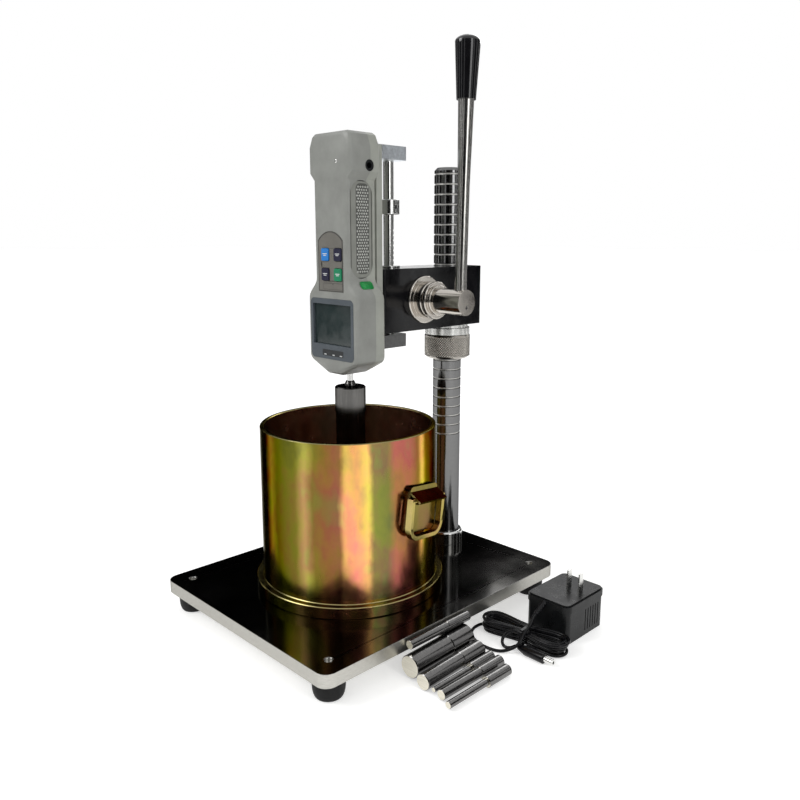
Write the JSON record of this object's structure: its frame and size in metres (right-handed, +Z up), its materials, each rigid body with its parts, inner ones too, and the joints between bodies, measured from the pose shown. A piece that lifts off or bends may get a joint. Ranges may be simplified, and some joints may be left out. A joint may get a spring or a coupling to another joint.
{
  "type": "concrete penetrometer",
  "caption": "Bench penetrometer for fresh mortar: a hand lever and rack press a needle through a force gauge into a round steel mould on a base plate with a ringed column.",
  "frame": {"origin": "on the bench, under the middle of the box round the plate, the needles and the charger", "axes": "+Z up, -Y towards the operator, +X to the operator's right"},
  "size_m": [0.3389, 0.307, 0.5389],
  "materials": {
    "plate_steel": "polished, satin edges",
    "turned_steel": "turned, satin",
    "dark_steel": "blackened",
    "rubber": "matt",
    "black_paint": "gloss",
    "bronze": "plain",
    "blue_zinc": "zinc plated",
    "yellow_zinc": "yellow zinc plated, iridescent",
    "housing": "fine texture",
    "housing_dark": "fine texture",
    "grip": "diamond texture",
    "panel": "satin film",
    "window": "gloss",
    "blue_key": "satin",
    "dark_key": "satin",
    "green_key": "satin",
    "black_plastic": "satin",
    "black_gloss": "gloss",
    "cord_black": "satin",
    "contact": "nickel plated",
    "board": "plain",
    "cell": "film sleeve",
    "needle_steel": "ground"
  },
  "bodies": {
    "stand": {"base_plate": "plate_steel", "rubber_feet": "rubber", "foot_studs": "turned_steel", "column": "turned_steel", "column_base_ring": "turned_steel", "loose_needle_1": "needle_steel", "loose_needle_2": "needle_steel", "loose_needle_3": "needle_steel", "loose_needle_4": "needle_steel", "loose_needle_5": "needle_steel", "loose_needle_6": "needle_steel", "charger_case": "black_plastic", "charger_lid": "black_plastic", "charger_blades": "contact", "cord_relief": "black_plastic", "charger_lead": "cord_black", "cord_hank": "cord_black", "hank_tie": "black_plastic", "plug_lead": "cord_black", "dc_plug": "black_plastic", "dc_plug_barrel": "contact"},
    "carriage": {"support_ring": "turned_steel"},
    "nut": {"lock_nut": "dark_steel"},
    "arm": {"arm_housing": "black_paint", "rack_bushes": "turned_steel", "bearing_boss": "turned_steel", "shaft_bushes": "bronze"},
    "lever": {"pinion_shaft": "turned_steel", "pinion_gear": "turned_steel", "lever_collar": "turned_steel", "lever_rod": "turned_steel", "lever_grip": "black_gloss"},
    "slide": {"rack_bar": "turned_steel", "top_bracket": "blue_zinc", "lower_bracket": "blue_zinc", "back_plate": "black_paint", "bracket_screws": "dark_steel", "gauge_front_shell": "housing", "gauge_rear_shell": "housing_dark", "side_grips": "grip", "display_bezel": "panel", "display_window": "window", "keypad_panel": "panel", "charger_socket": "black_plastic", "load_spindle": "turned_steel", "cone_nut": "turned_steel", "mounted_needle": "needle_steel", "load_cell": "needle_steel", "circuit_board": "board", "battery_pack": "cell"},
    "stop": {"stop_collar": "turned_steel", "stop_screw": "dark_steel"},
    "blue_key": {"key_blue": "blue_key"},
    "upper_dark_key": {"key_upper_dark": "dark_key"},
    "lower_dark_key": {"key_lower_dark": "dark_key"},
    "green_key": {"key_green": "green_key"},
    "mould": {"mould_bucket": "yellow_zinc", "handle_plates": "yellow_zinc"},
    "right_bail": {"bail_right": "yellow_zinc"},
    "left_bail": {"bail_left": "yellow_zinc"}
  },
  "joints": [
    {"name": "arm_height", "type": "slide", "parent": "stand", "child": "carriage", "axis": [0, 0, 1], "range_m": [-0.04, 0.06]},
    {"name": "lock_nut_turn", "type": "hinge", "parent": "carriage", "child": "nut", "pos_m": [-0.03765, 0.12, 0.252], "axis": [0, 0, 1], "range_deg": [0, 180]},
    {"name": "arm_swing", "type": "hinge", "parent": "carriage", "child": "arm", "pos_m": [-0.03765, 0.12, 0.305], "axis": [0, 0, 1], "range_deg": [-20, 20]},
    {"name": "rack_travel", "type": "slide", "parent": "arm", "child": "slide", "axis": [0, 0, -1], "range_m": [0, 0.0475]},
    {"name": "lever_turn", "type": "hinge", "parent": "arm", "child": "lever", "pos_m": [-0.03765, 0.05925, 0.305], "axis": [1, 0, 0], "range_deg": [0, 130]},
    {"name": "stop_collar_slide", "type": "slide", "parent": "slide", "child": "stop", "axis": [0, 0, 1], "range_m": [-0.03, 0.03]},
    {"name": "blue_key_press", "type": "slide", "parent": "slide", "child": "blue_key", "axis": [0, 1, 0], "range_m": [0, 0.0008], "stiffness_N_per_m": 400},
    {"name": "upper_dark_key_press", "type": "slide", "parent": "slide", "child": "upper_dark_key", "axis": [0, 1, 0], "range_m": [0, 0.0008], "stiffness_N_per_m": 400},
    {"name": "lower_dark_key_press", "type": "slide", "parent": "slide", "child": "lower_dark_key", "axis": [0, 1, 0], "range_m": [0, 0.0008], "stiffness_N_per_m": 400},
    {"name": "green_key_press", "type": "slide", "parent": "slide", "child": "green_key", "axis": [0, 1, 0], "range_m": [0, 0.0008], "stiffness_N_per_m": 400},
    {"name": "mould_turn", "type": "hinge", "parent": "stand", "child": "mould", "pos_m": [-0.03765, -0.01935, 0.0316], "axis": [0, 0, 1], "range_deg": [-60, 60]},
    {"name": "right_bail_lift", "type": "hinge", "parent": "mould", "child": "right_bail", "pos_m": [0.0517, -0.00313, 0.13101], "axis": [0.1634, -0.9767, 0.1392], "range_deg": [0, 85]},
    {"name": "left_bail_lift", "type": "hinge", "parent": "mould", "child": "left_bail", "pos_m": [-0.127, -0.03557, 0.13101], "axis": [-0.1634, 0.9767, 0.1392], "range_deg": [0, 85]}
  ],
  "couplings": [
    {"joint": "lever_turn", "follows": "rack_travel", "rad_per_m": 47.619}
  ]
}
